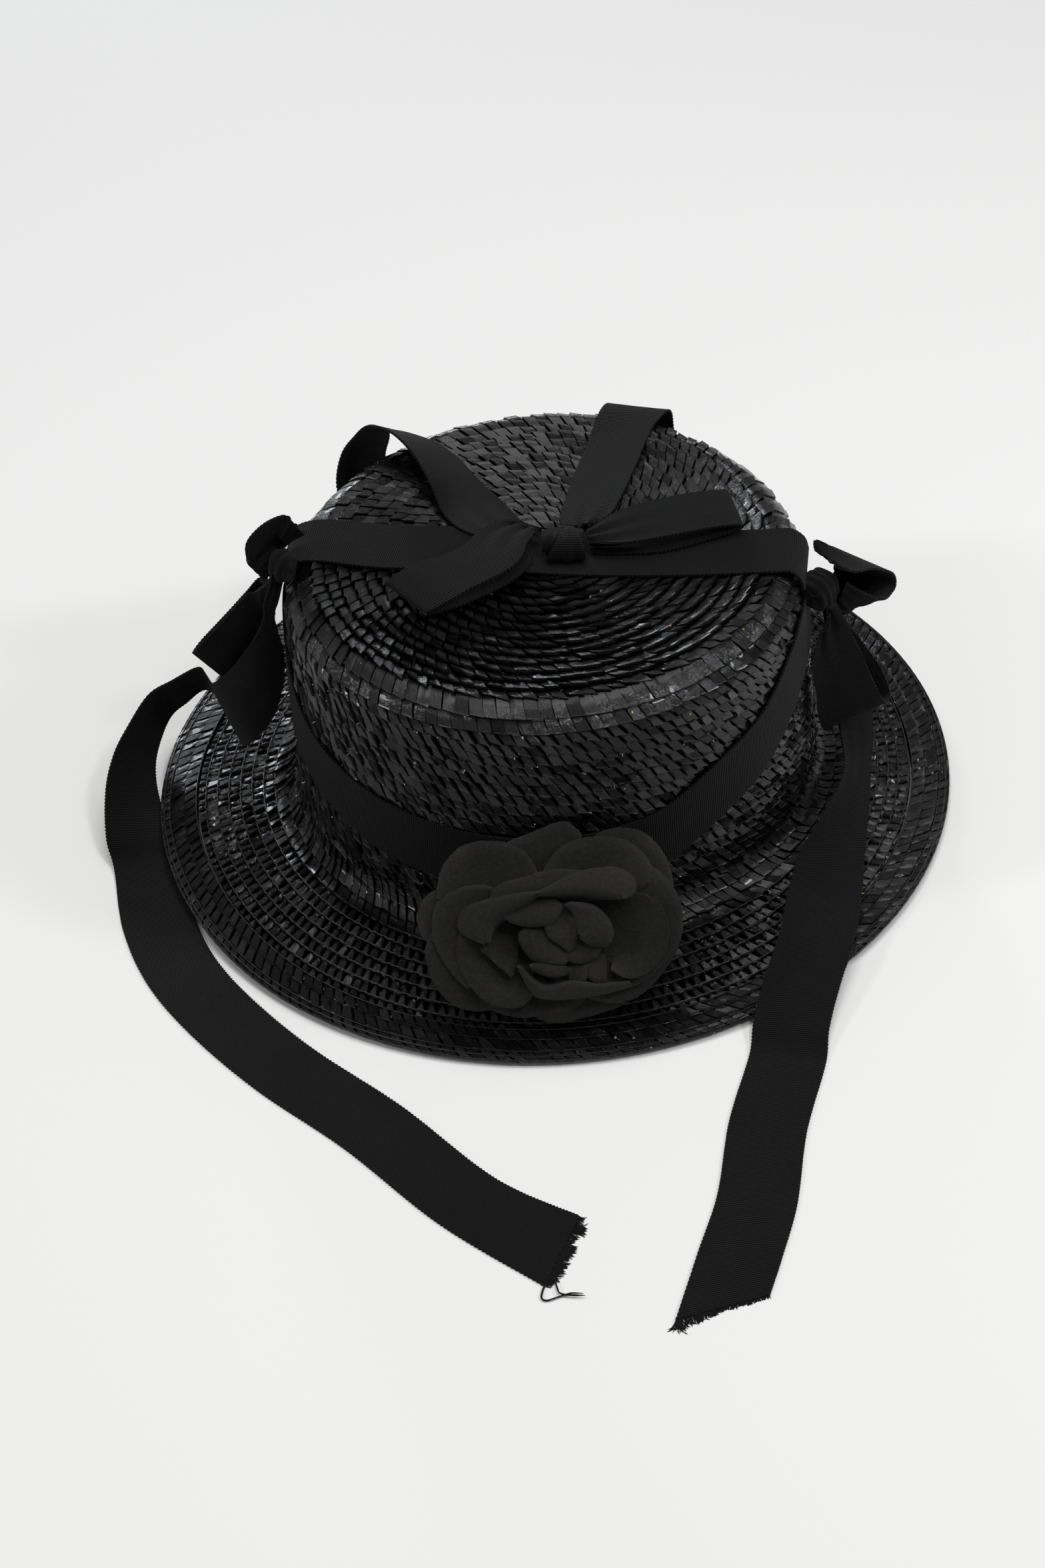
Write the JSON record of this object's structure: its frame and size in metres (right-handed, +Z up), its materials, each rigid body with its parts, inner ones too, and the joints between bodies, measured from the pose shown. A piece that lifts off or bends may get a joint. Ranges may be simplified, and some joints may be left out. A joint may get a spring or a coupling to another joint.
{
  "type": "boater hat",
  "caption": "Straw boater hat with an oval flat-topped crown, flat brim, ribbon band, bows, loose streamers and a cloth flower on the brim.",
  "frame": {"origin": "centre of the footprint of the hat with its streamers laid out, on the surface it rests on", "axes": "+Z up through the crown, +Y towards the back of the hat, +X towards its left-hand viewer's right, the side of the bow with the shorter streamer"},
  "size_m": [0.2996, 0.4064, 0.1208],
  "materials": {
    "black_straw": "glossy lacquered straw braid",
    "black_grosgrain": "matte ribbed ribbon",
    "charcoal_cloth": "matte woven cloth"
  },
  "bodies": {
    "root": {"back_strap_left": "black_grosgrain", "back_strap_right": "black_grosgrain", "brim": "black_straw", "crown": "black_straw", "crown_ribbon": "black_grosgrain", "edge_braid": "black_straw", "flower_base": "charcoal_cloth", "flower_bud": "charcoal_cloth", "hat_band": "black_grosgrain", "left_knot": "black_grosgrain", "left_lower_loop": "black_grosgrain", "left_streamer": "black_grosgrain", "left_upper_loop": "black_grosgrain", "petal_inner_1": "charcoal_cloth", "petal_inner_2": "charcoal_cloth", "petal_inner_3": "charcoal_cloth", "petal_inner_4": "charcoal_cloth", "petal_inner_5": "charcoal_cloth", "petal_middle_1": "charcoal_cloth", "petal_middle_2": "charcoal_cloth", "petal_middle_3": "charcoal_cloth", "petal_middle_4": "charcoal_cloth", "petal_middle_5": "charcoal_cloth", "petal_middle_6": "charcoal_cloth", "petal_middle_7": "charcoal_cloth", "petal_outer_1": "charcoal_cloth", "petal_outer_2": "charcoal_cloth", "petal_outer_3": "charcoal_cloth", "petal_outer_4": "charcoal_cloth", "petal_outer_5": "charcoal_cloth", "petal_outer_6": "charcoal_cloth", "petal_outer_7": "charcoal_cloth", "petal_outer_8": "charcoal_cloth", "petal_outer_9": "charcoal_cloth", "right_knot": "black_grosgrain", "right_lower_loop": "black_grosgrain", "right_streamer": "black_grosgrain", "right_upper_loop": "black_grosgrain", "top_knot": "black_grosgrain", "top_loop_left": "black_grosgrain", "top_loop_right": "black_grosgrain"}
  },
  "joints": []
}
